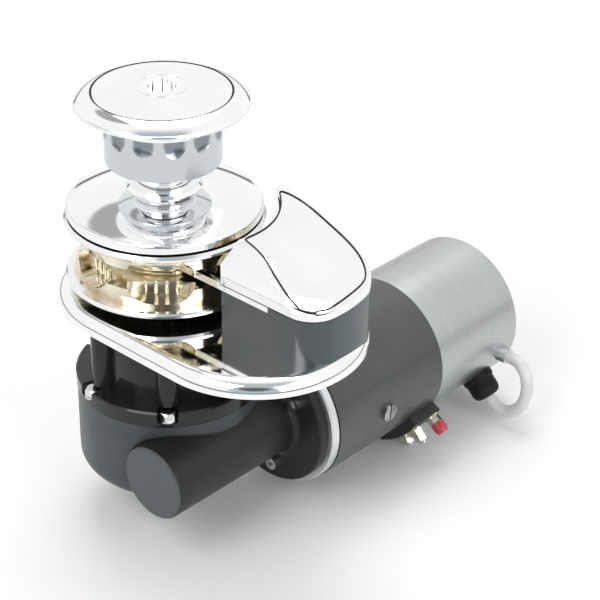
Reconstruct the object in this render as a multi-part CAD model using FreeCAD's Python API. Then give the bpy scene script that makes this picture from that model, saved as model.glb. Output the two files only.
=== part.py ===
import FreeCAD, Part
import math
import os
from FreeCAD import Vector

os.makedirs("parts", exist_ok=True)

# Vertical anchor windlass, lengths in millimetres and angles in degrees.
# Origin: the main shaft's axis at the deck face. +X towards the chain hood, +Y along the motor, +Z up.

# Clearances
run_gap = 0.05          # radial, a shaft that turns in its bore
seat_gap = 0.02         # radial, pieces pressed or slid together
part_gap = 0.3          # between bodies that move past each other

# Base plate: a slab with round ends about the shaft and about the hood's far end
plate_r = 66.1
plate_span = 74.7
plate_t = 10.0
plate_land = 3.5
plate_shoulder = 8.1
neck_recess_depth = 3.0
deck_bolt_r = 3.4
deck_bolt_inset = 6.6
deck_bolt_depth = 6.0

# Chain hood on the plate, and the hole that the chain drops through
chain_hole_r = 22.0
chain_hole_x = 96.0
chain_hole_y = 16.0
hood_r = 65.4
hood_gap_r = 66.0
hood_near_y = -17.3
hood_left_x = 34.0
hood_end_x = 135.3
hood_end_mid = (134.9, 15.2)
hood_end_angle = 31.4
hood_corner_r = 18.0
hood_wall = 4.0
hood_split_z = 39.0
lip_proud = 0.5
mouth_y = (28.0, 56.0)
mouth_sill = 4.0
roof_x = (28.0, 50.0, 66.0, 80.0, 92.0, 104.0, 114.0, 126.0, 142.0)
roof_rows = {
    -20.0: (66.0, 66.0, 65.0, 63.0, 59.0, 52.0, 45.5, 43.5, 42.0),
    -5.0: (66.0, 66.0, 65.0, 63.5, 61.0, 57.0, 50.5, 45.0, 42.0),
    15.0: (66.0, 65.5, 63.5, 60.5, 56.5, 52.0, 48.0, 44.5, 42.0),
    40.0: (65.0, 64.0, 60.0, 55.0, 50.5, 47.0, 44.5, 42.5, 41.5),
    68.0: (64.0, 60.0, 53.0, 47.0, 44.0, 42.0, 41.5, 41.5, 41.0),
}
rim_band_w = 3.0
rim_band_drop = 1.5
bevel_z = 51.7
bevel_slope = 43.0
hood_screw_r = 2.5
hood_screw_l = 21.0
hood_boss_r = 6.0

# Stripper finger in the chain wheel's groove
finger_t = 4.5
finger_gap = 1.5
finger_tip_x = 26.0
finger_foot_x = 100.0
finger_foot_w = 13.0
finger_ledge_t = 6.0
finger_screw_r = 2.0
finger_screw_inset = 8.5

# Main shaft and what it carries
shaft_r = 10.0
shaft_end_r = 8.5
shaft_collar_r = 12.5
seal_w = 5.5
seal_t = 5.0
key_w = 5.0
key_h = 2.3

# Chain wheel for short-link chain
chain_d = 8.0
chain_pitch = 24.0
pocket_w = 28.6
pocket_l = 42.0
pocket_count = 6
pocket_start = -47.7
wheel_mid_z = 36.5
wheel_r = 60.0
wheel_half = 20.7
rim_t = 4.0
wheel_core_r = 52.0
groove_w = 11.0
groove_r = 29.0

# Clutch cones, one below and one above the chain wheel
cone_big_r = 28.0
cone_small_r = 22.0
cone_flange_t = 2.0
cone_h = 9.0

# Bell flange and rope drum
bell_r = 58.2
bell_rim_z = 58.7
bell_rim_t = 5.3
bell_neck_r = 20.7
bell_top_z = 76.2
drum_neck_r = 19.5
barrel_r = 34.5
barrel_z = 91.2
barrel_top_z = 117.0
drum_flange_r = 51.4
drum_rim_z = 128.6
drum_seat_z = 126.0
flute_count = 12
flute_start = -32.7
flute_r = 20.0
flute_depth = 1.9
flute_z = 115.0

# Clutch cap, screwed on the shaft's end
cap_r = 41.0
cap_edge_z = 133.9
cap_top_z = 137.0
washer_r = 17.0
washer_t = 2.0
socket_r = 8.0
socket_lobe_r = 2.9
socket_lobes = 8
socket_depth = 4.6

# Neck casting between the plate and the gearbox
neck_top_r = 52.5
neck_top_t = 8.0
neck_tube_r = 43.5
neck_bore_r = 36.0
neck_flange_r = 57.5
neck_flange_t = 10.0
neck_h = 60.0
neck_boss_r = 26.0
column_count = 6
column_start = -45.0
motor_column = 75.0
column_r = 7.0
column_pitch_r = 45.3
neck_screw_pitch_r = 48.2
neck_screw_r = 2.5
neck_screw_turns = (45.0, 105.0, 165.0, 225.0)
neck_bolt_pitch_r = 52.0
neck_bolt_r = 3.0
neck_bolt_grip = 3.0
bolt_notch_r = 6.3

# Bearings: bore radius, outer radius, width
upper_bearing = (10.0, 21.0, 12.0)
lower_bearing = (8.5, 17.5, 10.0)
worm_front_bearing = (5.0, 13.0, 8.0)
worm_rear_bearing = (7.5, 17.5, 11.0)
motor_bearing = (6.0, 14.0, 8.0)

# Gearbox casting
gearbox_r = 57.0
gearbox_bottom_z = -117.0
gearbox_corner = 12.0
gearbox_floor = 5.0
wheel_cavity_r = 38.0
worm_x = 43.0
worm_z = -91.2
tube_r = 23.9
tube_front_y = -57.0
worm_cavity_r = 13.5
worm_cavity_y = (-42.0, 32.0)
worm_rear_y = 28.0
worm_shoulder = 1.5
flange_r = 45.0
flange_front_y = 44.0
flange_back_y = 51.0
flange_fillet = 4.0

# Worm pair: single-start worm, wheel of 38 teeth on a 43 mm centre distance
gear_module = 1.75
gear_teeth = 38
gear_face = 14.0
gear_hub = 4.0
worm_pitch_r = 9.75
worm_lead = 5.498
worm_crest_r = 11.5
worm_root_r = 7.6
worm_turns = 7
tooth_backlash = 0.4
tooth_clearance = 0.35
pressure_angle = 22.4

# Motor
motor_r = 49.5
motor_wall = 3.5
motor_len = 99.8
ring_r = motor_r - 0.5
ring_t = 6.5
bracket_bore_r = 13.0
bracket_web = 6.5
spigot_l = 4.0
cup_wall = 4.0
can_r = motor_r - 0.4
can_wall = 3.0
can_len = 81.1
motor_shaft_r = 6.0
armature_slots = 12
air_gap = 1.1
magnet_count = 4
magnet_arc = 66.0
magnet_t = 7.9
core_insets = (26.5, 13.3)
commutator_r = 20.0
commutator_reach = (-4.3, 17.7)
commutator_bars = 24
winding_l = 8.0
brush_plate_t = 3.0
brush_box = (15.0, 13.0)
brush_box_wall = 1.5
coupling_r = 12.0
coupling_y = (45.0, 62.0)
motor_bolt_turns = (41.0, -79.0)
motor_bolt_pitch_r = 32.5
motor_bolt_r = 2.5
tie_bolt_turns = (45.0, 225.0)
tie_bolt_pitch_r = motor_r - 7.5
tie_bolt_r = 2.5
tie_bolt_flats = 8.0
tie_bolt_head = 3.5
cover_screw_angle = -2.5
cover_screw_inset = 44.5
cover_screw_r = 2.5
cover_screw_head = (5.8, 2.8)

# Terminals, boot and hose
terminal_angle = -56.0
terminal_insets = (25.3, 0.3)
terminal_block_t = 7.0
terminal_block_arc = 40.0
terminal_stud_r = 2.5
terminal_reach = motor_r + 18.5
boot_angle = -43.5
boot_reach = 56.7
boot_root_r = 11.0
boot_tip_r = 6.2
boot_dome = 5.5
boot_len = 16.0
hose_r = 4.2
hose_route = [
    (16.26, -43.51, 0.0), (22.87, -43.51, 0.0), (29.22, -41.12, 0.6), (33.62, -36.84, 1.6),
    (35.06, -31.84, 3.0), (33.72, -26.69, 4.6), (30.53, -21.67, 6.2), (25.58, -17.29, 7.8),
    (18.98, -14.55, 9.6), (11.88, -14.63, 11.0), (6.09, -16.2, 11.0),
]
nipple_r = 5.4

ORIGIN = Vector(0, 0, 0)
UP = Vector(0, 0, 1)
chain_wheel_z = (wheel_mid_z - wheel_half, wheel_mid_z + wheel_half)
cone_low_z = wheel_mid_z - cone_flange_t - wheel_half - 1.0
cone_high_z = 2 * wheel_mid_z - cone_low_z
motor_y = flange_back_y + ring_t
can_y = motor_y + motor_len
can_end_y = can_y + can_len
armature_r = motor_r - motor_wall - magnet_t - air_gap
core_y = (motor_y + core_insets[0], can_y - core_insets[1])
commutator_y = (can_y + commutator_reach[0], can_y + commutator_reach[1])
cover_screw_y = motor_y + cover_screw_inset
terminal_y = (can_y - terminal_insets[0], can_y - terminal_insets[1])
boot_y = can_y + boot_reach
bearing_low_z = gearbox_bottom_z + gearbox_floor
upper_z = 4.0 - upper_bearing[2]
worm_front_y = worm_cavity_y[0] - worm_front_bearing[2]
pitch_r = gear_module * gear_teeth / 2


def polar(radius, angle, z=0.0):
    """A point at a radius and an angle about the vertical axis."""
    turn = math.radians(angle)
    return Vector(radius * math.cos(turn), radius * math.sin(turn), z)


def cylinder(radius, z0, z1, x=0.0, y=0.0):
    return Part.makeCylinder(radius, z1 - z0, Vector(x, y, z0), UP)


def ring(outer, inner, z0, z1, x=0.0, y=0.0):
    return cylinder(outer, z0, z1, x, y).cut(cylinder(inner, z0 - 1, z1 + 1, x, y))


def outline(items):
    """A closed wire in the XZ plane: (x, z) corners, and a pair of pairs for an arc by a middle point."""
    def point(pair):
        return Vector(pair[0], 0, pair[1])
    edges = []
    here = point(items[0])
    for item in items[1:] + [items[0]]:
        if isinstance(item[0], tuple):
            edges.append(Part.Arc(here, point(item[0]), point(item[1])).toShape())
            here = point(item[1])
        elif (point(item) - here).Length > 1e-6:
            edges.append(Part.LineSegment(here, point(item)).toShape())
            here = point(item)
    return Part.Wire(edges)


def turned(items):
    """A solid of revolution about the vertical axis from an outline of (radius, z) points."""
    return Part.Face(outline(items)).revolve(ORIGIN, UP, 360)


def hexagon(across_flats, z0, z1):
    corner = across_flats / math.sqrt(3)
    points = [polar(corner, 60 * k, z0) for k in range(6)]
    face = Part.Face(Part.makePolygon(points + points[:1]))
    return face.extrude(Vector(0, 0, z1 - z0))


def box(x0, x1, y0, y1, z0, z1):
    return Part.makeBox(x1 - x0, y1 - y0, z1 - z0, Vector(x0, y0, z0))


def moved(shape, x=0.0, y=0.0, z=0.0):
    copy = shape.copy()
    copy.translate(Vector(x, y, z))
    return copy


def spun(shape, angle):
    copy = shape.copy()
    copy.rotate(ORIGIN, UP, angle)
    return copy


def on_motor_axis(shape):
    """Turn a shape made about the vertical axis onto the worm's axis: its z becomes y."""
    copy = shape.copy()
    copy.rotate(ORIGIN, Vector(1, 0, 0), -90)
    copy.translate(Vector(worm_x, 0, worm_z))
    return copy


def motor_turn(angle):
    """The turn about the upright axis that lands at this angle above +X on the motor's axis."""
    return -angle


def on_motor_side(shape, angle, y):
    """Stand a shape made about the vertical axis radially on the motor, z measured from its axis."""
    copy = shape.copy()
    copy.rotate(ORIGIN, Vector(0, 1, 0), 90 - angle)
    copy.translate(Vector(worm_x, y, worm_z))
    return copy


def stadium(radius, z0, z1):
    """A prism with round ends about the shaft and about the plate's far centre."""
    middle = box(0, plate_span, -radius, radius, z0, z1)
    whole = cylinder(radius, z0, z1).fuse([cylinder(radius, z0, z1, plate_span), middle])
    return whole.removeSplitter()


def group(shapes):
    return Part.makeCompound(shapes)


def save(name, shape):
    shape.exportStep("parts/" + name + ".step")


def keyway(z0, z1, gap):
    """The space of a key that stands half in the shaft and half in its hub."""
    half = key_w / 2 + gap
    return box(shaft_r - key_h - gap, shaft_r + key_h + gap, -half, half, z0 - gap, z1 + gap)


def bearing(sizes, z0):
    """Outer ring, inner ring and balls of a ball bearing that stands on z0."""
    bore, outer, width = sizes
    ball_r = (outer - bore) * 0.28
    centre_r = (outer + bore) / 2
    mid_z = z0 + width / 2
    track = Part.makeTorus(centre_r, ball_r, Vector(0, 0, mid_z), UP)
    half_gap = ball_r * 0.5
    outer_ring = ring(outer - seat_gap, centre_r + half_gap, z0, z0 + width).cut(track)
    inner_ring = ring(centre_r - half_gap, bore + seat_gap, z0, z0 + width).cut(track)
    count = int(2 * math.pi * centre_r / (ball_r * 2.6))
    places = [polar(centre_r, 360 * k / count, mid_z) for k in range(count)]
    balls = [Part.makeSphere(ball_r - part_gap, place) for place in places]
    return outer_ring, inner_ring, group(balls)


def plate_body():
    """The slab: a flat land at its edge, then a round shoulder that runs out flat on top."""
    rise = plate_t - plate_land
    bend = (plate_shoulder ** 2 + rise ** 2) / (2 * rise)
    top_r = plate_r - plate_shoulder
    half_turn = math.acos((bend - rise) / bend) / 2
    mid_r, mid_z = top_r + bend * math.sin(half_turn), plate_t - bend + bend * math.cos(half_turn)
    half = [(0, 0), (plate_r, 0), (plate_r, plate_land), ((mid_r, mid_z), (top_r, plate_t)), (0, plate_t)]
    end = turned(half)
    other_half = [(-top_r, plate_t), ((-mid_r, mid_z), (-plate_r, plate_land))]
    section = Part.Face(outline([(-plate_r, 0)] + half[1:4] + other_half))
    section.rotate(ORIGIN, UP, 90)
    middle = section.extrude(Vector(plate_span, 0, 0))
    return end.fuse([moved(end, plate_span), middle]).removeSplitter()


def hood_screw_places():
    """Screws that come up through the plate into the hood's bosses: near side, end and far side."""
    inset = hood_wall + hood_boss_r - 1
    far = polar(hood_r - inset, 75)
    return [(plate_span, hood_near_y + inset), (hood_end_x - inset, chain_hole_y / 2),
            (plate_span + far.x, far.y)]


def base_plate():
    plate = plate_body()
    plate = plate.cut(cylinder(neck_top_r + 0.5, -1, neck_recess_depth))
    plate = plate.cut(cylinder(neck_boss_r + seat_gap, 0, plate_t + 1))
    plate = plate.cut(cylinder(chain_hole_r, -1, plate_t + 1, chain_hole_x, chain_hole_y))
    reach = plate_r - deck_bolt_inset
    for x in (0, plate_span):
        for y in (-reach, reach):
            plate = plate.cut(cylinder(deck_bolt_r, -1, deck_bolt_depth, x, y))
    for angle in neck_screw_turns:
        place = polar(neck_screw_pitch_r, angle)
        plate = plate.cut(cylinder(neck_screw_r, 0, plate_t - 2, place.x, place.y))
    for x, y in hood_screw_places():
        plate = plate.cut(cylinder(hood_screw_r + 0.4, -1, plate_t + 1, x, y))
        sink = Part.makeCone(2 * hood_screw_r + 0.4, hood_screw_r + 0.4, hood_screw_r, Vector(x, y, 0), UP)
        plate = plate.cut(sink)
    return plate


def hood_plan():
    """Corners and arcs of the hood's plan: near side, corner, end, far side, left side, wheel's side."""
    near_x = math.sqrt(hood_gap_r ** 2 - hood_near_y ** 2)
    corner_x = hood_end_x - hood_corner_r
    corner_y = hood_near_y + hood_corner_r
    bend = hood_corner_r * math.sqrt(0.5)
    end = polar(hood_r, hood_end_angle)
    far = polar(hood_r, (hood_end_angle + 90) / 2)
    wheel_side = polar(hood_gap_r, 20)
    return [(near_x, hood_near_y), (corner_x, hood_near_y),
            ((corner_x + bend, corner_y - bend), (hood_end_x, corner_y)),
            (hood_end_mid, (plate_span + end.x, end.y)),
            ((plate_span + far.x, far.y), (plate_span, hood_r)),
            (hood_left_x, hood_r), (hood_left_x, math.sqrt(hood_gap_r ** 2 - hood_left_x ** 2)),
            ((wheel_side.x, wheel_side.y), (near_x, hood_near_y))]


def hood_prism(inset, z0, z1):
    """The hood's plan, pulled in by an inset, between two heights."""
    wire = outline(hood_plan())
    wire.rotate(ORIGIN, Vector(1, 0, 0), -90)
    if inset != 0:
        wire = wire.makeOffset2D(-inset)
    face = Part.Face(wire)
    face.translate(Vector(0, 0, z0))
    return face.extrude(Vector(0, 0, z1 - z0))


def finger_plan(z0, z1):
    """The stripper finger: a tip that hugs the wheel's groove and a foot in the hood's near side."""
    near = hood_near_y
    shank = box(finger_tip_x, hood_gap_r + 2, near, near + finger_foot_w + 3, z0, z1)
    foot = box(hood_gap_r - 2, finger_foot_x, near, near + finger_foot_w, z0, z1)
    shank = shank.cut(cylinder(groove_r + finger_gap, z0 - 1, z1 + 1))
    wedge = Part.Face(Part.makePolygon([
        Vector(finger_tip_x, near + 6, z0 - 1), Vector(hood_gap_r - 10, near + 17, z0 - 1),
        Vector(finger_tip_x, near + 17, z0 - 1), Vector(finger_tip_x, near + 6, z0 - 1)]))
    shank = shank.cut(wedge.extrude(Vector(0, 0, z1 - z0 + 2)))
    return shank.fuse(foot).removeSplitter()


def finger_screw_places():
    y = hood_near_y + (hood_wall + finger_foot_w) / 2
    return [(hood_gap_r + finger_screw_inset, y), (finger_foot_x - finger_screw_inset, y)]


def chain_hood():
    shell = hood_prism(0, plate_land, hood_split_z)
    shell = shell.cut([hood_prism(hood_wall, plate_land - 1, hood_split_z + 1), plate_body()])
    mouth = box(0, hood_gap_r + 10, mouth_y[0], mouth_y[1], plate_t + mouth_sill, hood_split_z + 1)
    shell = shell.cut(mouth.common(cylinder(hood_gap_r + hood_wall + 0.5, 0, hood_split_z + 1)))
    inside = hood_prism(hood_wall / 2, plate_t, hood_split_z)
    finger_low = hood_split_z - finger_t
    ledge_low = finger_low - finger_ledge_t
    bosses = [cylinder(hood_boss_r, plate_t, ledge_low + 2, x, y) for x, y in hood_screw_places()]
    ledge = box(hood_gap_r, finger_foot_x + 1, hood_near_y, hood_near_y + finger_foot_w + 1,
                ledge_low, finger_low)
    shell = shell.fuse([boss.common(inside) for boss in bosses + [ledge]])
    for x, y in hood_screw_places():
        shell = shell.cut(cylinder(hood_screw_r, plate_t - 1, ledge_low - 1, x, y))
    for x, y in finger_screw_places():
        shell = shell.cut(cylinder(finger_screw_r, ledge_low + 1, hood_split_z, x, y))
    return shell.cut(finger_plan(finger_low, hood_split_z + 1)).removeSplitter()


def roof_prism(drop):
    """Everything under the hood's doubly curved roof, lowered by drop."""
    poles = [[Vector(x, y, z - drop) for x, z in zip(roof_x, heights)] for y, heights in roof_rows.items()]
    row_knots = list(range(len(poles) - 1))
    row_mults = [3] + [1] * (len(row_knots) - 2) + [3]
    line_knots = list(range(len(roof_x) - 2))
    line_mults = [4] + [1] * (len(line_knots) - 2) + [4]
    roof = Part.BSplineSurface()
    roof.buildFromPolesMultsKnots(poles, row_mults, line_mults, row_knots, line_knots, False, False, 2, 3)
    return roof.toShape().extrude(Vector(0, 0, -hood_split_z))


def bevel_half(drop):
    """The block above the near side's bevel, lowered by drop along its normal."""
    turn = math.radians(bevel_slope)
    normal = Vector(0, -math.sin(turn), math.cos(turn))
    corner = Vector(0, hood_near_y, bevel_z) - normal * drop
    block = Part.makeBox(400, 400, 200, Vector(-200, -200, 0))
    block.Placement = FreeCAD.Placement(corner, FreeCAD.Rotation(UP, normal))
    return block


def cap_body(inset, drop):
    """The cap's outer shape, or the hollow inside it, under the roof lowered by drop."""
    return hood_prism(inset, hood_split_z, hood_split_z + 40).common(roof_prism(drop))


def hood_cap():
    """The cap: its rim is a band that stands a little lower than the roof inside it."""
    band = cap_body(-lip_proud, rim_band_drop)
    crown = cap_body(rim_band_w - lip_proud, 0)
    hollow = cap_body(hood_wall, hood_wall).cut(bevel_half(hood_wall))
    return band.fuse(crown).cut([bevel_half(0), hollow]).removeSplitter()


def chain_stripper():
    low = hood_split_z - finger_t
    finger = finger_plan(low, hood_split_z)
    for x, y in finger_screw_places():
        finger = finger.cut(cylinder(finger_screw_r + 0.2, low - 1, hood_split_z + 1, x, y))
    return finger


def countersunk_screw(radius, head_r, length):
    """Head down at z = 0, shank up."""
    head = Part.makeCone(head_r, radius, head_r - radius, ORIGIN, UP)
    socket = hexagon(radius * 1.2, -1, (head_r - radius) * 0.7)
    return head.fuse(cylinder(radius, head_r - radius - 0.01, length)).cut(socket)


def main_shaft():
    top_z = drum_seat_z + washer_t + 2.5
    step_z = bearing_low_z + lower_bearing[2]
    collar_z = upper_z + upper_bearing[2]
    items = [(0, bearing_low_z), (shaft_end_r, bearing_low_z), (shaft_end_r, step_z), (shaft_r, step_z),
             (shaft_r, collar_z), (shaft_collar_r, collar_z), (shaft_collar_r, cone_low_z),
             (shaft_r, cone_low_z), (shaft_r, top_z - 1), (shaft_r - 1, top_z), (0, top_z)]
    shaft = turned(items)
    for z0, z1 in key_spans().values():
        shaft = shaft.cut(keyway(z0, z1, seat_gap))
    return shaft


def key_spans():
    """Where each key stands along the shaft."""
    gear_low = worm_z - gear_face / 2
    return {
        "gear_key": (gear_low + 1, gear_low + gear_face + 3),
        "lower_cone_key": (cone_low_z + 1, cone_low_z + cone_flange_t + cone_h - 1),
        "drum_key": (cone_high_z - cone_flange_t - cone_h + 1, drum_seat_z - 6),
    }


def clutch_cone():
    """The lower cone: it stands on its flange and narrows upwards."""
    low = cone_low_z
    top = low + cone_flange_t + cone_h
    cone = turned([(shaft_r + seat_gap, low), (cone_big_r, low), (cone_big_r, low + cone_flange_t),
                   (cone_small_r, top), (shaft_r + seat_gap, top)])
    return cone.cut(keyway(low - 5, top + 5, seat_gap))


def cone_recess():
    """The space that a cone takes in the chain wheel, with its running gap."""
    slope = (cone_big_r - cone_small_r) / cone_h
    aside = part_gap * math.sqrt(1 + slope * slope)
    top = cone_flange_t + cone_h + part_gap
    return turned([(0, -5), (cone_big_r + aside + slope * 5, -5 + cone_flange_t),
                   (cone_small_r + aside - slope * part_gap, top), (0, top)])


def chain_pocket():
    """A bed for a link that lies flat, open outwards along +X."""
    link_r = chain_pitch / 2 / math.tan(math.pi / (2 * pocket_count))
    floor_r = link_r - chain_d / 2
    half_w = pocket_w / 2
    half_l = pocket_l / 2 - half_w
    solid = Part.makeBox(40, 2 * half_l, 2 * half_w, Vector(floor_r, -half_l, wheel_mid_z - half_w))
    for side in (-half_l, half_l):
        end = Part.makeCylinder(half_w, 40, Vector(floor_r, side, wheel_mid_z), Vector(1, 0, 0))
        solid = solid.fuse(end)
    return solid.removeSplitter()


def chain_wheel():
    low, high = chain_wheel_z
    groove = groove_w / 2
    items = [(shaft_r + run_gap, low), (wheel_r - 1.5, low), (wheel_r, low + 1.5), (wheel_r, low + rim_t - 1),
             (wheel_r - 1, low + rim_t), (wheel_core_r, low + rim_t),
             (wheel_core_r, wheel_mid_z - groove - 1), (wheel_core_r - 3, wheel_mid_z - groove),
             (groove_r + 4, wheel_mid_z - groove),
             ((groove_r, wheel_mid_z), (groove_r + 4, wheel_mid_z + groove)),
             (wheel_core_r - 3, wheel_mid_z + groove), (wheel_core_r, wheel_mid_z + groove + 1),
             (wheel_core_r, high - rim_t), (wheel_r - 1, high - rim_t), (wheel_r, high - rim_t + 1),
             (wheel_r, high - 1.5), (wheel_r - 1.5, high), (shaft_r + run_gap, high)]
    wheel = turned(items)
    recess = moved(cone_recess(), z=cone_low_z)
    upper = recess.mirror(Vector(0, 0, wheel_mid_z), UP)
    wheel = wheel.cut([recess, upper])
    pocket = chain_pocket()
    return wheel.cut([spun(pocket, pocket_start + 360 * k / pocket_count) for k in range(pocket_count)])


def bell_flange():
    hub_r = bell_neck_r + 4
    items = [(shaft_r + seat_gap, cone_high_z), (hub_r, cone_high_z), (hub_r + 6, bell_rim_z + 3),
             (bell_r - 4, bell_rim_z + 3), (bell_r - 3, bell_rim_z), (bell_r, bell_rim_z),
             (bell_r, bell_rim_z + bell_rim_t - 1.5),
             ((bell_r - 0.6, bell_rim_z + bell_rim_t - 0.4), (bell_r - 2.2, bell_rim_z + bell_rim_t)),
             ((bell_r * 0.6 + 5, bell_rim_z + bell_rim_t + 6.5), (bell_neck_r + 1.5, bell_top_z - 2)),
             (bell_neck_r, bell_top_z), (shaft_r + seat_gap, bell_top_z)]
    return turned(items).cut(keyway(cone_high_z - 5, bell_top_z + 5, seat_gap))


def rope_drum():
    rim_low = drum_rim_z - 2.4
    recess_r = cap_r + part_gap
    items = [(shaft_r + seat_gap, bell_top_z), (drum_neck_r, bell_top_z), (drum_neck_r, barrel_z - 3),
             ((drum_neck_r + 0.9, barrel_z - 0.9), (drum_neck_r + 3, barrel_z)), (barrel_r - 1, barrel_z),
             ((barrel_r - 0.3, barrel_z + 0.3), (barrel_r, barrel_z + 1)), (barrel_r, barrel_top_z),
             ((barrel_r + 2.6, barrel_top_z + 5.6), (barrel_r + 9, rim_low - 1.5)),
             (drum_flange_r - 0.8, rim_low),
             ((drum_flange_r, rim_low + 1.2), (drum_flange_r - 1, drum_rim_z)),
             ((recess_r + 5, cap_edge_z - 1.9), (recess_r, cap_edge_z)), (recess_r, drum_seat_z),
             (shaft_r + seat_gap, drum_seat_z)]
    drum = turned(items).cut(keyway(bell_top_z - 5, drum_seat_z - 6, seat_gap))
    centre_r = barrel_r + flute_r - flute_depth
    below_top = cylinder(barrel_r + 2, barrel_z, barrel_top_z)
    flutes = []
    for k in range(flute_count):
        place = polar(centre_r, flute_start + 360 * k / flute_count, flute_z)
        lower_end = Part.makeSphere(flute_r, place)
        flute = cylinder(flute_r, flute_z, barrel_top_z, place.x, place.y).fuse(lower_end)
        flutes.append(flute.common(below_top))
    return drum.cut(flutes)


def socket_star(z0, z1):
    places = [polar(socket_r, 360 * k / socket_lobes) for k in range(socket_lobes)]
    lobes = [cylinder(socket_lobe_r, z0, z1, place.x, place.y) for place in places]
    return cylinder(socket_r, z0, z1).fuse(lobes).removeSplitter()


def clutch_cap():
    low = drum_seat_z + washer_t
    groove_in = cap_r - 3.4
    items = [(0, low), (cap_r - 1, low), (cap_r, low + 1), (cap_r, cap_edge_z - 0.8),
             (cap_r - 0.8, cap_edge_z), ((groove_in / 2 + 4, cap_top_z - 0.9), (0, cap_top_z))]
    cap = turned(items)
    cap = cap.cut(cylinder(shaft_r + run_gap, low - 1, low + 2.5 + part_gap))
    ring_groove = ring(socket_r + 7.6, socket_r + 6.6, cap_top_z - 1.2, cap_top_z + 1)
    return cap.cut([socket_star(cap_top_z - socket_depth, cap_top_z + 1), ring_groove])


def deck_spacer():
    """Neck casting: top ring, six columns about a tube, bolt flange, and a boss for bearing and seal."""
    top_low = -neck_top_t
    bearing_r = upper_bearing[1] + seat_gap
    body = [cylinder(neck_top_r, top_low, neck_recess_depth), cylinder(neck_tube_r, -neck_h + 1, top_low + 1),
            cylinder(neck_boss_r, 0, plate_t + 1)]
    body.append(turned([(0, -neck_h), (neck_flange_r, -neck_h), (neck_flange_r, -neck_h + neck_flange_t - 1),
                        (neck_flange_r - 1, -neck_h + neck_flange_t), (0, -neck_h + neck_flange_t)]))
    for k in range(column_count):
        place = polar(column_pitch_r, column_start + 360 * k / column_count)
        body.append(cylinder(column_r, -neck_h + 1, top_low + 1, place.x, place.y))
    neck = body[0].fuse(body[1:])
    roof = upper_z
    hollow = cylinder(neck_bore_r, -neck_h - 1, roof - 3)
    bore = cylinder(bearing_r, roof - 5, roof + upper_bearing[2])
    lip = cylinder(shaft_collar_r + 3, roof, plate_t)
    seal_seat = cylinder(shaft_collar_r + seal_w, plate_t - seal_t, plate_t + 2)
    neck = neck.cut([hollow, bore, lip, seal_seat])
    notch_low = -neck_h + neck_bolt_grip
    notch_high = -neck_h + neck_flange_t + 1
    for angle in neck_bolt_turns():
        place = polar(neck_bolt_pitch_r, angle)
        notch = cylinder(bolt_notch_r, notch_low, notch_high, place.x, place.y)
        outer = box(0, bolt_notch_r + 4, -bolt_notch_r, bolt_notch_r, notch_low, notch_high)
        outer.rotate(ORIGIN, UP, angle)
        hole = cylinder(neck_bolt_r + 0.3, -neck_h - 1, -neck_h + neck_flange_t, place.x, place.y)
        neck = neck.cut([notch, moved(outer, place.x, place.y), hole])
    for angle in neck_screw_turns:
        place = polar(neck_screw_pitch_r, angle)
        neck = neck.cut(cylinder(neck_screw_r + 0.2, -20, neck_recess_depth + 1, place.x, place.y))
    relief = on_motor_axis(cylinder(motor_r + 1, flange_front_y - 1.5, flange_back_y + 20))
    return neck.cut(relief).removeSplitter()


def neck_bolt_turns():
    """Angles of the neck's bolts: one per column, but none over the motor flange."""
    turns = [column_start + 360 * k / column_count for k in range(column_count)]
    return [turn for turn in turns if turn != motor_column]


def neck_bolt():
    head_z = -neck_h + neck_bolt_grip
    head = hexagon(10, head_z + 0.8, head_z + 5.8)
    washer = cylinder(5.9, head_z, head_z + 0.8)
    crown = Part.makeCone(7.2, 4.6, 2.6, Vector(0, 0, head_z + 3.2), UP)
    return washer.fuse([head.common(cylinder(5.77, head_z, head_z + 3.3).fuse(crown)),
                        cylinder(neck_bolt_r, head_z - 15, head_z + 1)])


def gearbox():
    corner = gearbox_corner
    low = gearbox_bottom_z
    turn = corner * (1 - math.sqrt(0.5))
    drum = turned([(0, low), (gearbox_r - corner, low),
                   ((gearbox_r - turn, low + turn), (gearbox_r, low + corner)),
                   (gearbox_r, -neck_h), (0, -neck_h)])
    fil = flange_fillet
    soft = fil * (1 - math.sqrt(0.5))
    tube = turned([(0, tube_front_y), (tube_r - 2, tube_front_y),
                   ((tube_r - 0.6, tube_front_y + 0.6), (tube_r, tube_front_y + 2)),
                   (tube_r, flange_front_y - fil),
                   ((tube_r + soft, flange_front_y - soft), (tube_r + fil, flange_front_y)),
                   (flange_r - 1, flange_front_y), (flange_r, flange_front_y + 1), (flange_r, flange_back_y),
                   (0, flange_back_y)])
    casting = drum.fuse(on_motor_axis(tube)).removeSplitter()
    cavity = [cylinder(wheel_cavity_r, bearing_low_z + lower_bearing[2], -neck_h + 1),
              cylinder(lower_bearing[1], bearing_low_z, -neck_h),
              on_motor_axis(cylinder(worm_cavity_r, *worm_cavity_y)),
              on_motor_axis(cylinder(worm_front_bearing[1], worm_front_y, 0)),
              on_motor_axis(cylinder(worm_rear_bearing[1], worm_rear_y, flange_back_y + 1))]
    casting = casting.cut(cavity)
    for angle in neck_bolt_turns():
        place = polar(neck_bolt_pitch_r, angle)
        casting = casting.cut(cylinder(neck_bolt_r, -neck_h - 13, -neck_h + 1, place.x, place.y))
    for angle in motor_bolt_turns:
        place = polar(motor_bolt_pitch_r, motor_turn(angle))
        hole = cylinder(motor_bolt_r + 0.3, flange_front_y - 3, flange_back_y + 1, place.x, place.y)
        casting = casting.cut(on_motor_axis(hole))
    return casting.cut(on_motor_axis(cylinder(motor_r + 1, flange_back_y, flange_back_y + 30)))


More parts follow.
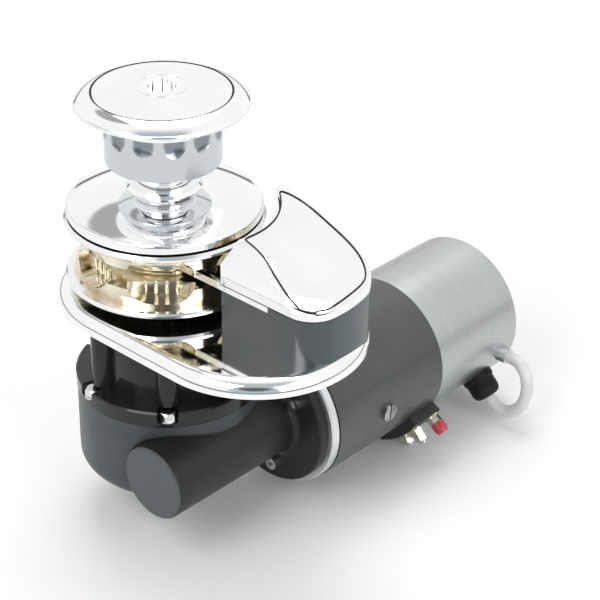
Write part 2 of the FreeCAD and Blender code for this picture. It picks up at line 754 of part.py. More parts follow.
def tooth_gap():
    """One gap of the worm wheel, a tilted prism about +X."""
    half_pitch = math.pi * gear_module / 4 + tooth_backlash / 2
    slope = math.tan(math.radians(pressure_angle))
    inner_r = worm_x - worm_crest_r - tooth_clearance
    outer_r = pitch_r + gear_module + 1
    inner_w = half_pitch - (pitch_r - inner_r) * slope
    outer_w = half_pitch + (outer_r - pitch_r) * slope
    points = [Vector(inner_r, -inner_w, 0), Vector(outer_r, -outer_w, 0), Vector(outer_r, outer_w, 0),
              Vector(inner_r, inner_w, 0)]
    face = Part.Face(Part.makePolygon(points + points[:1]))
    lead_angle = math.atan(worm_lead / (2 * math.pi * worm_pitch_r))
    reach = gear_face / 2 + 2
    side = math.tan(lead_angle) * reach
    face.translate(Vector(0, -side, -reach))
    return face.extrude(Vector(0, 2 * side, 2 * reach))


def worm_gear():
    half = gear_face / 2
    tip_r = pitch_r + gear_module
    blank = turned([(shaft_r + seat_gap, -half), (tip_r - 0.6, -half), (tip_r, -half + 0.6),
                    (tip_r, half - 0.6), (tip_r - 0.6, half), (16, half), (16, half + gear_hub),
                    (shaft_r + seat_gap, half + gear_hub)])
    gap = tooth_gap()
    blank = blank.cut([spun(gap, 360 * k / gear_teeth) for k in range(gear_teeth)])
    return moved(blank, z=worm_z).cut(keyway(worm_z - half - 5, worm_z + half + 9, seat_gap))


def worm_thread():
    """The worm's thread as one swept solid about the vertical axis."""
    half_pitch = math.pi * gear_module / 4 - tooth_backlash / 2
    slope = math.tan(math.radians(pressure_angle))
    root = worm_root_r - 0.3
    root_w = half_pitch + (worm_pitch_r - root) * slope
    crest_w = half_pitch - (worm_crest_r - worm_pitch_r) * slope
    length = worm_turns * worm_lead
    start = -length / 2
    helix = Part.makeHelix(worm_lead, length, root)
    helix.translate(Vector(0, 0, start))
    points = [Vector(root, 0, start - root_w), Vector(worm_crest_r, 0, start - crest_w),
              Vector(worm_crest_r, 0, start + crest_w), Vector(root, 0, start + root_w)]
    profile = Part.makePolygon(points + points[:1])
    return Part.Wire(helix.Edges).makePipeShell([profile], True, True)


def worm():
    front = worm_front_y
    rear = worm_rear_y
    journal_r = worm_front_bearing[0]
    journal_y = front + worm_front_bearing[2]
    drive_r = worm_rear_bearing[0]
    shoulder_r = drive_r + worm_shoulder
    core = turned([(0, front), (journal_r, front), (journal_r, journal_y), (worm_root_r, journal_y),
                   (worm_root_r, rear - worm_shoulder), (shoulder_r, rear - worm_shoulder),
                   (shoulder_r, rear),
                   (drive_r, rear), (drive_r, flange_back_y), (0, flange_back_y)])
    return on_motor_axis(core.fuse(worm_thread()))


def motor_bracket():
    """The ring at the motor's front: a spigot inside the case and a cup for the bearing."""
    low, high = flange_back_y, motor_y
    seat_r = motor_bearing[1] + seat_gap
    cup_r = motor_bearing[1] + cup_wall
    cup_y = high + bracket_web + motor_bearing[2]
    spigot_r = motor_r - motor_wall - seat_gap
    body = turned([(bracket_bore_r, low), (ring_r - 1, low), (ring_r, low + 1), (ring_r, high - 1),
                   (ring_r - 1, high), (spigot_r, high), (spigot_r, high + spigot_l),
                   (cup_r, high + spigot_l),
                   (cup_r, cup_y), (seat_r, cup_y), (seat_r, high + bracket_web),
                   (bracket_bore_r, high + bracket_web)])
    for place, radius in bracket_holes():
        body = body.cut(cylinder(radius, low - 1, high + spigot_l + 1, place.x, place.y))
    return on_motor_axis(body)


def bracket_holes():
    motor = [polar(motor_bolt_pitch_r, motor_turn(angle)) for angle in motor_bolt_turns]
    ties = [polar(tie_bolt_pitch_r, angle) for angle in tie_bolt_turns]
    holes = [(place, motor_bolt_r + seat_gap) for place in motor]
    return holes + [(place, tie_bolt_r + seat_gap) for place in ties]


def socket_screw(radius, head_r, length, z):
    """Head below z, shank above it, with a hexagon socket in the head."""
    head = cylinder(head_r, z - 2 * radius * 0.9, z)
    socket = hexagon(radius * 1.7, z - 2 * radius * 0.9 - 1, z - radius * 0.8)
    return head.fuse(cylinder(radius, z - 0.01, z + length)).cut(socket)


def motor_case():
    body = ring(motor_r, motor_r - motor_wall, motor_y, can_y)
    case = on_motor_axis(body)
    for angle in (cover_screw_angle, cover_screw_angle + 180):
        hole = cylinder(cover_screw_r + run_gap, motor_r - motor_wall - 1, motor_r + 1)
        case = case.cut(on_motor_side(hole, angle, cover_screw_y))
    return case


def can_cover():
    """The motor's rear cover, with a spigot into the case and a cup for the rear bearing."""
    end = can_end_y
    floor = end - can_wall
    inner = can_r - can_wall
    seat_r = motor_bearing[1] + seat_gap
    cup_r = motor_bearing[1] + cup_wall
    cup_y = floor - motor_bearing[2] - 1
    round_r = 2.5
    turn = round_r * (1 - math.sqrt(0.5))
    cover = turned([(0, floor), (seat_r, floor), (seat_r, cup_y), (cup_r, cup_y), (cup_r, floor),
                    (inner, floor), (inner, can_y), (can_r, can_y), (can_r, end - round_r),
                    ((can_r - turn, end - turn), (can_r - round_r, end)), (0, end)])
    spigot_r = motor_r - motor_wall - seat_gap
    spigot_in = spigot_r - can_wall
    cover = cover.fuse([ring(spigot_r, spigot_in, can_y - 1.8, can_y + 1),
                        ring(can_r - 1, spigot_in, can_y, can_y + 2)])
    return on_motor_axis(cover.cut(tie_bolt_holes()))


def tie_bolt_holes():
    places = [polar(tie_bolt_pitch_r, angle) for angle in tie_bolt_turns]
    return [cylinder(tie_bolt_r + part_gap, motor_y, can_end_y + 1, place.x, place.y) for place in places]


def tie_bolts():
    head = hexagon(tie_bolt_flats, can_end_y, can_end_y + tie_bolt_head)
    bolt = cylinder(tie_bolt_r, flange_back_y + 1, can_end_y + 0.01).fuse(head)
    places = [polar(tie_bolt_pitch_r, angle) for angle in tie_bolt_turns]
    return group([on_motor_axis(moved(bolt, place.x, place.y)) for place in places])


def magnets():
    outer = motor_r - motor_wall - seat_gap
    low, high = core_y[0] - 2, core_y[1] + 2
    pieces = []
    for k in range(magnet_count):
        sector = Part.makeCylinder(outer, high - low, Vector(0, 0, low), UP, magnet_arc)
        sector = sector.cut(cylinder(outer - magnet_t, low - 1, high + 1))
        pieces.append(on_motor_axis(spun(sector, 360 * k / magnet_count - magnet_arc / 2)))
    return group(pieces)


def armature_core():
    core = ring(armature_r, motor_shaft_r + seat_gap, *core_y)
    slots = []
    for k in range(armature_slots):
        slot = box(armature_r - 11, armature_r + 1, -1.6, 1.6, core_y[0] - 1, core_y[1] + 1)
        slots.append(spun(slot, 360 * k / armature_slots))
    return on_motor_axis(core.cut(slots))


def armature_winding():
    """The copper's end turns on both ends of the core."""
    inner = armature_r - 23
    outer = armature_r - 5
    ends = []
    for low in (core_y[0] - winding_l, core_y[1] + part_gap):
        high = low + winding_l - part_gap
        bulge = (outer + 2, (low + high) / 2)
        end = turned([(inner, low), (outer, low), (bulge, (outer, high)), (inner, high)])
        ends.append(on_motor_axis(end))
    return group(ends)


def commutator():
    low, high = commutator_y
    body = ring(commutator_r, motor_shaft_r + seat_gap, low, high)
    slit = box(commutator_r - 1.2, commutator_r + 1, -0.35, 0.35, low + 3, high + 1)
    slits = [spun(slit, 360 * k / commutator_bars) for k in range(commutator_bars)]
    return on_motor_axis(body.cut(slits))


def brush_plate():
    low = can_y - 2 - brush_plate_t
    plate = ring(motor_r - motor_wall - seat_gap, commutator_r + 4, low, low + brush_plate_t)
    return on_motor_axis(plate.cut(tie_bolt_holes()))


def brush_blocks(inner, outer, inset):
    """Four blocks about the commutator, in the outline of the brush boxes pulled in by an inset."""
    length, width = brush_box
    low = can_y - 2
    block = box(inner, outer, inset - width / 2, width / 2 - inset, low + inset, low + length - inset)
    return [on_motor_axis(spun(block, 90 * k)) for k in range(4)]


def brush_holders():
    shells = brush_blocks(commutator_r + 3, commutator_r + 18, 0)
    holes = brush_blocks(commutator_r, commutator_r + 16, brush_box_wall)
    return group([shell.cut(hole) for shell, hole in zip(shells, holes)])


def brushes():
    return group(brush_blocks(commutator_r + part_gap, commutator_r + 13, brush_box_wall + seat_gap))


def motor_shaft():
    low = flange_back_y + 1
    high = can_end_y - can_wall
    return on_motor_axis(cylinder(motor_shaft_r, low, high - 0.5))


def coupling():
    """The sleeve that joins the worm's tail to the motor's shaft."""
    low, high = coupling_y
    sleeve = cylinder(coupling_r, low, high)
    tail = cylinder(worm_rear_bearing[0] + seat_gap, low - 1, flange_back_y)
    return on_motor_axis(sleeve.cut([tail, cylinder(motor_shaft_r + seat_gap, flange_back_y, high + 1)]))


def terminal_places():
    mid = (terminal_y[0] + terminal_y[1]) / 2
    return [(terminal_angle - 7, mid + 6), (terminal_angle + 7, mid + 3), (terminal_angle + 22, mid + 7)]


def terminal_block():
    """A curved insulator that hugs the case under the terminal studs."""
    low, high = terminal_y
    outer = motor_r + terminal_block_t
    base = Part.makeCylinder(outer, high - low, Vector(0, 0, low), UP, terminal_block_arc)
    base = base.cut(cylinder(motor_r, low - 1, high + 1))
    block = on_motor_axis(spun(base, motor_turn(terminal_angle + 7) - terminal_block_arc / 2))
    for angle, y in terminal_places():
        hole = cylinder(terminal_stud_r + seat_gap, motor_r - 1, outer + 1)
        block = block.cut(on_motor_side(hole, angle, y))
    return block


def terminal_studs():
    return group([on_motor_side(cylinder(terminal_stud_r, motor_r + 0.5, terminal_reach), angle, y)
                  for angle, y in terminal_places()])


def terminal_nuts():
    """Two nuts and a washer on each stud, apart from the capped one, which keeps only its lower nut."""
    bore = cylinder(terminal_stud_r + seat_gap, motor_r, terminal_reach)
    low = motor_r + terminal_block_t
    pieces = []
    for index, (angle, y) in enumerate(terminal_places()):
        stack = [cylinder(5.4, low, low + 1), hexagon(8, low + 1, low + 5)]
        if index < 2:
            stack.append(hexagon(8, low + 5.3, low + 9.3))
        pieces += [on_motor_side(piece.cut(bore), angle, y) for piece in stack]
    return group(pieces)


def terminal_cap():
    angle, y = terminal_places()[2]
    low = motor_r + 12.3
    bore = terminal_stud_r + seat_gap
    cap = turned([(bore, low), (4.8, low), (4.8, low + 5), (3.9, low + 7.6), (0, low + 7.6),
                  (0, terminal_reach + 0.1), (bore, terminal_reach + 0.1)])
    return on_motor_side(cap, angle, y)


def cover_screws():
    head_r, head_t = cover_screw_head
    top = motor_r + head_t
    slot = box(-head_r, head_r, -0.7, 0.7, top - 1.3, top + 1)
    screws = []
    for angle in (cover_screw_angle, cover_screw_angle + 180):
        head = cylinder(head_r, motor_r, top).cut(slot)
        shank = cylinder(cover_screw_r, motor_r - motor_wall, motor_r + 0.01)
        screws.append(on_motor_side(head.fuse(shank), angle, cover_screw_y))
    return group(screws)


def cable_boot():
    root = can_r
    tip = root + boot_len
    sleeve_r = boot_root_r - 1.2
    dome_z = tip - boot_dome
    bend = math.sqrt(0.5)
    dome_mid = (boot_tip_r + (sleeve_r - boot_tip_r) * bend, dome_z + boot_dome * bend)
    boot = turned([(0, root - 6), (boot_root_r, root - 6), (boot_root_r, root + 3), (sleeve_r, root + 4.5),
                   (sleeve_r, dome_z), (dome_mid, (boot_tip_r, tip)), (0, tip)])
    sink = on_motor_axis(cylinder(can_r, can_y, can_end_y))
    return on_motor_side(boot, boot_angle, boot_y).cut(sink)


def hose_points():
    """The hose's route, from the boot's tip and back to the cover's side."""
    points = []
    for out, angle, along in hose_route:
        place = polar(can_r + out, angle)
        points.append(Vector(worm_x + place.x, boot_y + along, worm_z + place.y))
    return points


def hose_nipple():
    """The tube end that the hose comes back to, on the cover's side."""
    before, end = hose_points()[-2:]
    tube = Part.makeCylinder(nipple_r, 14, end, end - before)
    return tube.cut(on_motor_axis(cylinder(can_r, can_y, can_end_y)))


def rounded_route(points):
    """Straight runs joined by tangent arcs."""
    edges = []
    here = points[0]
    for before, corner, after in zip(points, points[1:], points[2:]):
        back = (before - corner)
        ahead = (after - corner)
        shorter = min(back.Length, ahead.Length)
        turn = math.pi - back.getAngle(ahead)
        cut = 0.45 * shorter
        radius = cut / math.tan(turn / 2)
        start = corner + back.normalize() * cut
        end = corner + ahead.normalize() * cut
        bisector = ((start + end) * 0.5 - corner).normalize()
        apex = corner + bisector * (radius / math.cos(turn / 2) - radius)
        edges.append(Part.LineSegment(here, start).toShape())
        edges.append(Part.Arc(start, apex, end).toShape())
        here = end
    edges.append(Part.LineSegment(here, points[-1]).toShape())
    return Part.Wire(edges)


def drain_hose():
    points = hose_points()
    start = Part.Wire(Part.makeCircle(hose_r, points[0], points[1] - points[0]))
    return rounded_route(points).makePipeShell([start], True, False)


def bearing_set(name, places):
    """Outer rings, inner rings and balls of the bearings at these places, as three nodes."""
    rings = [[place(shape) for shape in bearing(sizes, z0)] for sizes, z0, place in places]
    for part, shapes in zip(("outer", "inner", "balls"), zip(*rings)):
        save(name + "_" + part, group(shapes))


def upright(shape):
    return shape


upper_cone = clutch_cone().mirror(Vector(0, 0, wheel_mid_z), UP)
drive_keys = [keyway(z0, z1, 0) for z0, z1 in key_spans().values()]
worm_seal_y = worm_rear_y + worm_rear_bearing[2] + part_gap

save("base_plate", base_plate())
save("chain_hood", chain_hood())
save("hood_cap", hood_cap())
hood_screw = countersunk_screw(hood_screw_r, 2 * hood_screw_r, hood_screw_l)
save("hood_screws", group([moved(hood_screw, x, y) for x, y in hood_screw_places()]))
save("chain_stripper", chain_stripper())
finger_screw = socket_screw(finger_screw_r, 3.5, finger_t + finger_ledge_t - 2, 0).mirror(ORIGIN, UP)
finger_screws = [moved(finger_screw, x, y, hood_split_z) for x, y in finger_screw_places()]
save("stripper_screws", group(finger_screws))
save("deck_spacer", deck_spacer())
neck_screw = socket_screw(neck_screw_r, 4.2, neck_top_t + plate_t - 3, -neck_top_t)
neck_screw_places = [polar(neck_screw_pitch_r, angle) for angle in neck_screw_turns]
save("neck_screws", group([moved(neck_screw, place.x, place.y) for place in neck_screw_places]))
neck_bolt_places = [polar(neck_bolt_pitch_r, angle) for angle in neck_bolt_turns()]
save("neck_bolts", group([moved(neck_bolt(), place.x, place.y) for place in neck_bolt_places]))
seal_r = shaft_collar_r + seal_w - seat_gap
save("shaft_seal", ring(seal_r, shaft_collar_r + run_gap, plate_t - seal_t, plate_t))
save("gearbox", gearbox())

save("main_shaft", main_shaft())
save("drive_keys", group(drive_keys))
save("worm_gear", worm_gear())
save("shaft_spacer", ring(shaft_r + 3, shaft_r + seat_gap, worm_z + gear_face / 2 + gear_hub, upper_z))
save("lower_cone", clutch_cone())
save("upper_cone", upper_cone)
save("bell_flange", bell_flange())
save("rope_drum", rope_drum())
save("chain_wheel", chain_wheel())
save("thrust_washer", ring(washer_r, shaft_r + run_gap, drum_seat_z, drum_seat_z + washer_t))
save("clutch_cap", clutch_cap())

bearing_set("upper_bearing", [(upper_bearing, upper_z, upright)])
bearing_set("lower_bearing", [(lower_bearing, bearing_low_z, upright)])
bearing_set("worm_bearing", [(worm_front_bearing, worm_front_y, on_motor_axis),
                             (worm_rear_bearing, worm_rear_y, on_motor_axis)])
bearing_set("motor_bearing", [(motor_bearing, motor_y + bracket_web, on_motor_axis),
                              (motor_bearing, can_end_y - can_wall - motor_bearing[2], on_motor_axis)])

save("worm", worm())
save("worm_seal", on_motor_axis(ring(worm_rear_bearing[1] - seat_gap, worm_rear_bearing[0] + run_gap,
                                     worm_seal_y, flange_front_y + 0.5)))
save("drive_coupling", coupling())
save("motor_bracket", motor_bracket())
motor_bolt = socket_screw(motor_bolt_r, 4.2, flange_back_y - flange_front_y + ring_t, flange_front_y)
motor_bolt_places = [polar(motor_bolt_pitch_r, motor_turn(angle)) for angle in motor_bolt_turns]
motor_bolts = [on_motor_axis(moved(motor_bolt, place.x, place.y)) for place in motor_bolt_places]
save("motor_bolts", group(motor_bolts))
save("motor_case", motor_case())
save("motor_cover", can_cover())
save("tie_bolts", tie_bolts())
save("magnets", magnets())
save("motor_shaft", motor_shaft())
save("armature_core", armature_core())
save("armature_winding", armature_winding())
save("commutator", commutator())
save("brush_plate", brush_plate())
save("brush_holders", brush_holders())
save("brushes", brushes())
save("terminal_block", terminal_block())
save("terminal_studs", terminal_studs())
save("terminal_nuts", terminal_nuts())
save("terminal_cap", terminal_cap())
save("cover_screws", cover_screws())
save("cable_boot", cable_boot())
save("hose_nipple", hose_nipple())
save("drain_hose", drain_hose())
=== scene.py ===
import math
import bpy
from mathutils import Matrix, Vector
from mathutils.bvhtree import BVHTree


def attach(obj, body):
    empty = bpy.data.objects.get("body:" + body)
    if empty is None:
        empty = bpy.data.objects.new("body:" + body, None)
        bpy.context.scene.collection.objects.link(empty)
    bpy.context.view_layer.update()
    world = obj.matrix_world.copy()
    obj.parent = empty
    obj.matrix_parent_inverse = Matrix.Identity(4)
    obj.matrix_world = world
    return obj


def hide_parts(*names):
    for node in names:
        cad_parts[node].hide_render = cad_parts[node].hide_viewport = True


# Looks of a vertical anchor windlass. Metres, z up, the deck face at z = 0.
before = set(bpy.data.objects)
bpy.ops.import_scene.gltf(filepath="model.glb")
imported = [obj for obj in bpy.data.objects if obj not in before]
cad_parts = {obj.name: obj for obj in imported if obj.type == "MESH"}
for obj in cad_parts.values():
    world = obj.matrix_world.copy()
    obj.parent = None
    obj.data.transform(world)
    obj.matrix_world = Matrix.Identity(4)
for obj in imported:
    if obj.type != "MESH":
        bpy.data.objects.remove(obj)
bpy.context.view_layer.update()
scene = bpy.context.scene
print("frame in:", len(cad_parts), "solids")

cameraView = {
    "place": (0.742926, -0.696148, 0.596149),
    "right": (0.73466679, 0.67833205, 0.01141698),
    "up": (-0.35256, 0.36736, 0.86067),
    "back": (0.57962342, -0.63633, 0.50904),
    "lens": 116.53,
}


def placeCamera(view):
    data = bpy.data.cameras.new("camera")
    data.lens = view["lens"]
    data.sensor_width = 36
    camera = bpy.data.objects.new("camera", data)
    scene.collection.objects.link(camera)
    turn = Matrix((view["right"], view["up"], view["back"])).transposed()
    camera.matrix_world = Matrix.Translation(view["place"]) @ turn.to_4x4()
    scene.camera = camera


placeCamera(cameraView)


# Node helpers
def addNode(tree, kind, **values):
    node = tree.nodes.new(kind)
    for name, value in values.items():
        setattr(node, name, value)
    return node


def objectPoint(tree, scale=(1, 1, 1), place=(0, 0, 0), turn=(0, 0, 0)):
    coords = addNode(tree, "ShaderNodeTexCoord")
    mapping = addNode(tree, "ShaderNodeMapping")
    mapping.inputs["Scale"].default_value = scale
    mapping.inputs["Location"].default_value = place
    mapping.inputs["Rotation"].default_value = turn
    tree.links.new(coords.outputs["Object"], mapping.inputs["Vector"])
    return mapping.outputs["Vector"]


def noiseAt(tree, point, scale, detail=3.0, rough=0.5):
    node = addNode(tree, "ShaderNodeTexNoise")
    node.inputs["Scale"].default_value = scale
    node.inputs["Detail"].default_value = detail
    node.inputs["Roughness"].default_value = rough
    tree.links.new(point, node.inputs["Vector"])
    return node.outputs["Fac"]


def spread(tree, value, low, high, to=(0.0, 1.0), smooth=False):
    node = addNode(tree, "ShaderNodeMapRange")
    if smooth:
        node.interpolation_type = "SMOOTHSTEP"
    for name, number in zip(("From Min", "From Max", "To Min", "To Max"), (low, high, *to)):
        node.inputs[name].default_value = number
    tree.links.new(value, node.inputs["Value"])
    return node.outputs["Result"]


def maths(tree, operation, first, second=None):
    node = addNode(tree, "ShaderNodeMath", operation=operation)
    for socket, value in zip(node.inputs, (first, second)):
        if isinstance(value, bpy.types.NodeSocket):
            tree.links.new(value, socket)
        elif value is not None:
            socket.default_value = value
    return node.outputs["Value"]


def blendColour(tree, factor, first, second):
    node = addNode(tree, "ShaderNodeMix", data_type="RGBA")
    for socket, value in ((node.inputs[0], factor), (node.inputs[6], first), (node.inputs[7], second)):
        if isinstance(value, bpy.types.NodeSocket):
            tree.links.new(value, socket)
        else:
            socket.default_value = (*value, 1.0) if isinstance(value, tuple) else value
    return node.outputs[2]


def bumpOn(tree, shader, height, depth, strength=1.0):
    node = addNode(tree, "ShaderNodeBump")
    node.inputs["Strength"].default_value = strength
    node.inputs["Distance"].default_value = depth
    tree.links.new(height, node.inputs["Height"])
    old = shader.inputs["Normal"].links
    if old:
        tree.links.new(old[0].from_socket, node.inputs["Normal"])
    tree.links.new(node.outputs["Normal"], shader.inputs["Normal"])


def baseFinish(name, look):
    # colour wanders between two shades, roughness between two limits, and a fine grain lifts the skin
    material = bpy.data.materials.new(name)
    material.use_nodes = True
    tree = material.node_tree
    shader = tree.nodes["Principled BSDF"]
    shader.inputs["Metallic"].default_value = look.get("metal", 0.0)
    shader.inputs["Specular IOR Level"].default_value = look.get("specular", 0.5)
    shader.inputs["Coat Weight"].default_value = look.get("coat", 0.0)
    shader.inputs["Coat Roughness"].default_value = look.get("coatRough", 0.1)
    point = objectPoint(tree)
    patches = spread(tree, noiseAt(tree, point, look["patch"], 4.0, 0.55), 0.3, 0.7)
    colour = blendColour(tree, patches, look["shade"], look["light"])
    tree.links.new(colour, shader.inputs["Base Color"])
    wear = noiseAt(tree, point, look["patch"] * 2.7, 5.0, 0.65)
    tree.links.new(spread(tree, wear, 0.25, 0.75, look["rough"]), shader.inputs["Roughness"])
    if "wave" in look:
        bumpOn(tree, shader, noiseAt(tree, point, look["wave"][0], 1.0), look["wave"][1])
    if "grain" in look:
        bumpOn(tree, shader, noiseAt(tree, point, look["grain"][0], 2.0), look["grain"][1])
    if "brush" in look:
        scratches = noiseAt(tree, objectPoint(tree, look["brush"][0]), 1.0, 3.0, 0.7)
        bumpOn(tree, shader, scratches, look["brush"][1])
        streaked = blendColour(tree, spread(tree, scratches, 0.35, 0.65), colour, look["light"])
        tree.links.new(streaked, shader.inputs["Base Color"])
    return material, tree, shader


def recolour(tree, shader, factor, colour):
    # lays another colour over what the shader has, by a factor
    old = shader.inputs["Base Color"].links[0].from_socket
    tree.links.new(blendColour(tree, factor, old, colour), shader.inputs["Base Color"])


def axes(tree, point):
    node = addNode(tree, "ShaderNodeSeparateXYZ")
    tree.links.new(point, node.inputs["Vector"])
    return node.outputs


def product(tree, first, second):
    return maths(tree, "MULTIPLY", first, second)


def reachOf(tree, first, second):
    squares = maths(tree, "ADD", product(tree, first, first), product(tree, second, second))
    return maths(tree, "SQRT", squares)


def radiusAbout(tree, x=0.0, y=0.0):
    parts = axes(tree, objectPoint(tree, place=(-x, -y, 0)))
    return reachOf(tree, parts[0], parts[1])


# Finishes, one look for each
looks = {
    "deckChrome": {"metal": 1.0, "shade": (0.88, 0.89, 0.90), "light": (0.97, 0.97, 0.97), "rough": (0.03, 0.08),
                   "patch": 22, "wave": (30, 0.00006), "grain": (1400, 0.0000015)},
    "wheelBronze": {"metal": 1.0, "shade": (0.58, 0.51, 0.38), "light": (0.92, 0.87, 0.73), "rough": (0.08, 0.22),
                    "patch": 60, "wave": (140, 0.00012), "grain": (2500, 0.000004)},
    "gearCasting": {"shade": (0.040, 0.046, 0.049), "light": (0.064, 0.071, 0.075), "rough": (0.34, 0.48),
                    "specular": 0.35, "patch": 18, "wave": (60, 0.00006), "grain": (1500, 0.000018)},
    "neckCasting": {"shade": (0.008, 0.0085, 0.009), "light": (0.019, 0.020, 0.021), "rough": (0.08, 0.2),
                    "patch": 25, "wave": (70, 0.00008), "grain": (1300, 0.00001), "coat": 0.1, "specular": 0.3},
    "hoodPaint": {"shade": (0.034, 0.037, 0.039), "light": (0.050, 0.054, 0.056), "rough": (0.26, 0.38),
                  "patch": 16, "grain": (1700, 0.000012), "coat": 0.25},
    "motorPaint": {"shade": (0.050, 0.053, 0.056), "light": (0.068, 0.072, 0.075), "rough": (0.30, 0.44),
                   "patch": 20, "grain": (1600, 0.000012), "coat": 0.15},
    "canBrushed": {"metal": 1.0, "shade": (0.42, 0.433, 0.438), "light": (0.52, 0.532, 0.537), "rough": (0.30, 0.38),
                   "patch": 7, "brush": ((10, 1100, 10), 0.000003)},
    "ringCast": {"metal": 1.0, "shade": (0.66, 0.67, 0.68), "light": (0.84, 0.84, 0.84), "rough": (0.34, 0.5),
                 "patch": 40, "grain": (1200, 0.00002)},
    "darkScrew": {"metal": 1.0, "shade": (0.16, 0.16, 0.16), "light": (0.55, 0.55, 0.55), "rough": (0.2, 0.34),
                  "patch": 160, "grain": (2600, 0.000008)},
    "stainless": {"metal": 1.0, "shade": (0.58, 0.58, 0.59), "light": (0.76, 0.76, 0.76), "rough": (0.16, 0.3),
                  "patch": 120, "grain": (3000, 0.000006)},
    "groundSteel": {"metal": 1.0, "shade": (0.56, 0.56, 0.57), "light": (0.70, 0.70, 0.71), "rough": (0.18, 0.32),
                    "patch": 50, "brush": ((30, 30, 1800), 0.000006)},
    "gearBronze": {"metal": 1.0, "shade": (0.60, 0.38, 0.17), "light": (0.80, 0.56, 0.30), "rough": (0.2, 0.38),
                   "patch": 60, "brush": ((900, 900, 40), 0.000008)},
    "copperWire": {"metal": 1.0, "shade": (0.66, 0.30, 0.18), "light": (0.86, 0.48, 0.34), "rough": (0.22, 0.4),
                   "patch": 90, "brush": ((700, 50, 700), 0.00008)},
    "ironStack": {"metal": 1.0, "shade": (0.20, 0.20, 0.21), "light": (0.34, 0.34, 0.34), "rough": (0.3, 0.5),
                  "patch": 50, "brush": ((15, 1600, 15), 0.00003)},
    "magnetBlock": {"shade": (0.07, 0.07, 0.075), "light": (0.12, 0.12, 0.125), "rough": (0.45, 0.65),
                    "patch": 80, "grain": (1500, 0.00002)},
    "carbon": {"shade": (0.03, 0.03, 0.03), "light": (0.06, 0.06, 0.06), "rough": (0.5, 0.7),
               "patch": 150, "grain": (2200, 0.00002)},
    "insulator": {"shade": (0.012, 0.012, 0.012), "light": (0.028, 0.028, 0.028), "rough": (0.42, 0.6),
                  "patch": 80, "grain": (1800, 0.000015)},
    "bootRubber": {"shade": (0.005, 0.005, 0.005), "light": (0.012, 0.012, 0.012), "rough": (0.5, 0.68),
                   "specular": 0.25, "patch": 90, "grain": (1500, 0.00002)},
    "redCap": {"shade": (0.42, 0.018, 0.040), "light": (0.60, 0.05, 0.085), "rough": (0.22, 0.34),
               "patch": 110, "grain": (1500, 0.000008), "coat": 0.3},
    "platedBrass": {"metal": 1.0, "shade": (0.52, 0.49, 0.38), "light": (0.80, 0.78, 0.68), "rough": (0.16, 0.3),
                    "patch": 140, "grain": (2600, 0.000006)},
}
looks["drumChrome"] = looks["deckChrome"]
finishes = {name: baseFinish(name, look) for name, look in looks.items()}


def wheelZones(sizes):
    # the wheel's rims are polished bright, its pockets stay bronze
    tree, shader = finishes["wheelBronze"][1:]
    rim = spread(tree, radiusAbout(tree), *sizes["rimBand"], smooth=True)
    recolour(tree, shader, rim, sizes["rimColour"])


def hoodPaintedReflection(sizes):
    # a painted reflection: a cool teal tint towards the hood's round end
    tree, shader = finishes["hoodPaint"][1:]
    x = axes(tree, objectPoint(tree))[0]
    cool = spread(tree, x, *sizes["reflectionBand"], to=(0.0, sizes["reflectionMost"]), smooth=True)
    recolour(tree, shader, cool, sizes["cool"])


def within(tree, value, low, high, soft=0.0004):
    # 1 between two limits, 0 outside them
    rise = spread(tree, value, low - soft, low + soft)
    drop = spread(tree, value, high - soft, high + soft)
    return product(tree, rise, maths(tree, "SUBTRACT", 1.0, drop))


def roughen(tree, shader, factor, value):
    # lays another roughness over what the shader has, by a factor
    old = shader.inputs["Roughness"].links[0].from_socket
    node = addNode(tree, "ShaderNodeMix", data_type="FLOAT")
    node.inputs[3].default_value = value
    tree.links.new(factor, node.inputs[0])
    tree.links.new(old, node.inputs[2])
    tree.links.new(node.outputs[0], shader.inputs["Roughness"])


def drumZones(sizes):
    # the barrel is satin, with a painted grey-blue reflection laid over its colour, and painted shade darkens its
    # flutes
    tree, shader = finishes["drumChrome"][1:]
    radius = radiusAbout(tree)
    height = within(tree, axes(tree, objectPoint(tree))[2], *sizes["barrel"])
    barrel = product(tree, height, within(tree, radius, 0.0, sizes["barrelRadius"]))
    flutes = product(tree, height, within(tree, radius, 0.0, sizes["fluteRadius"]))
    recolour(tree, shader, barrel, sizes["satin"])
    recolour(tree, shader, flutes, sizes["flute"])
    roughen(tree, shader, barrel, sizes["rough"])


def gearShades(sizes):
    # the worm's tube and flange are nearly black, the tube's cut end is paler
    tree, shader = finishes["gearCasting"][1:]
    x, y, z = axes(tree, objectPoint(tree))[:3]
    reach = reachOf(tree, maths(tree, "SUBTRACT", x, sizes["wormX"]), maths(tree, "SUBTRACT", z, sizes["wormZ"]))
    inTube = within(tree, reach, -1.0, sizes["tube"])
    tube = product(tree, inTube, within(tree, y, *sizes["tubeRun"]))
    flange = product(tree, within(tree, reach, -1.0, sizes["flange"]), within(tree, y, *sizes["flangeRun"]))
    recolour(tree, shader, maths(tree, "MAXIMUM", tube, flange), sizes["dark"])
    end = product(tree, inTube, within(tree, y, -1.0, sizes["tubeRun"][0]))
    recolour(tree, shader, end, sizes["pale"])


# the barrel's grey-blue tone is a painted reflection, and the flutes' dark grey is painted shade
drumZones({"barrel": (0.0915, 0.1172), "barrelRadius": 0.0352, "fluteRadius": 0.0341,
           "satin": (0.60, 0.64, 0.67), "flute": (0.26, 0.29, 0.31), "rough": 0.17})
gearShades({"wormX": 0.043, "wormZ": -0.0912, "tube": 0.0252, "tubeRun": (-0.0562, 0.042), "flange": 0.0465,
            "flangeRun": (0.0405, 0.06), "dark": (0.014, 0.0135, 0.013), "pale": (0.072, 0.080, 0.083)})
wheelZones({"rimBand": (0.0535, 0.0565), "rimColour": (0.88, 0.88, 0.87)})
# the hood's teal tint at its round end is a painted reflection
hoodPaintedReflection({"reflectionBand": (0.105, 0.137), "reflectionMost": 0.6, "cool": (0.035, 0.065, 0.07)})

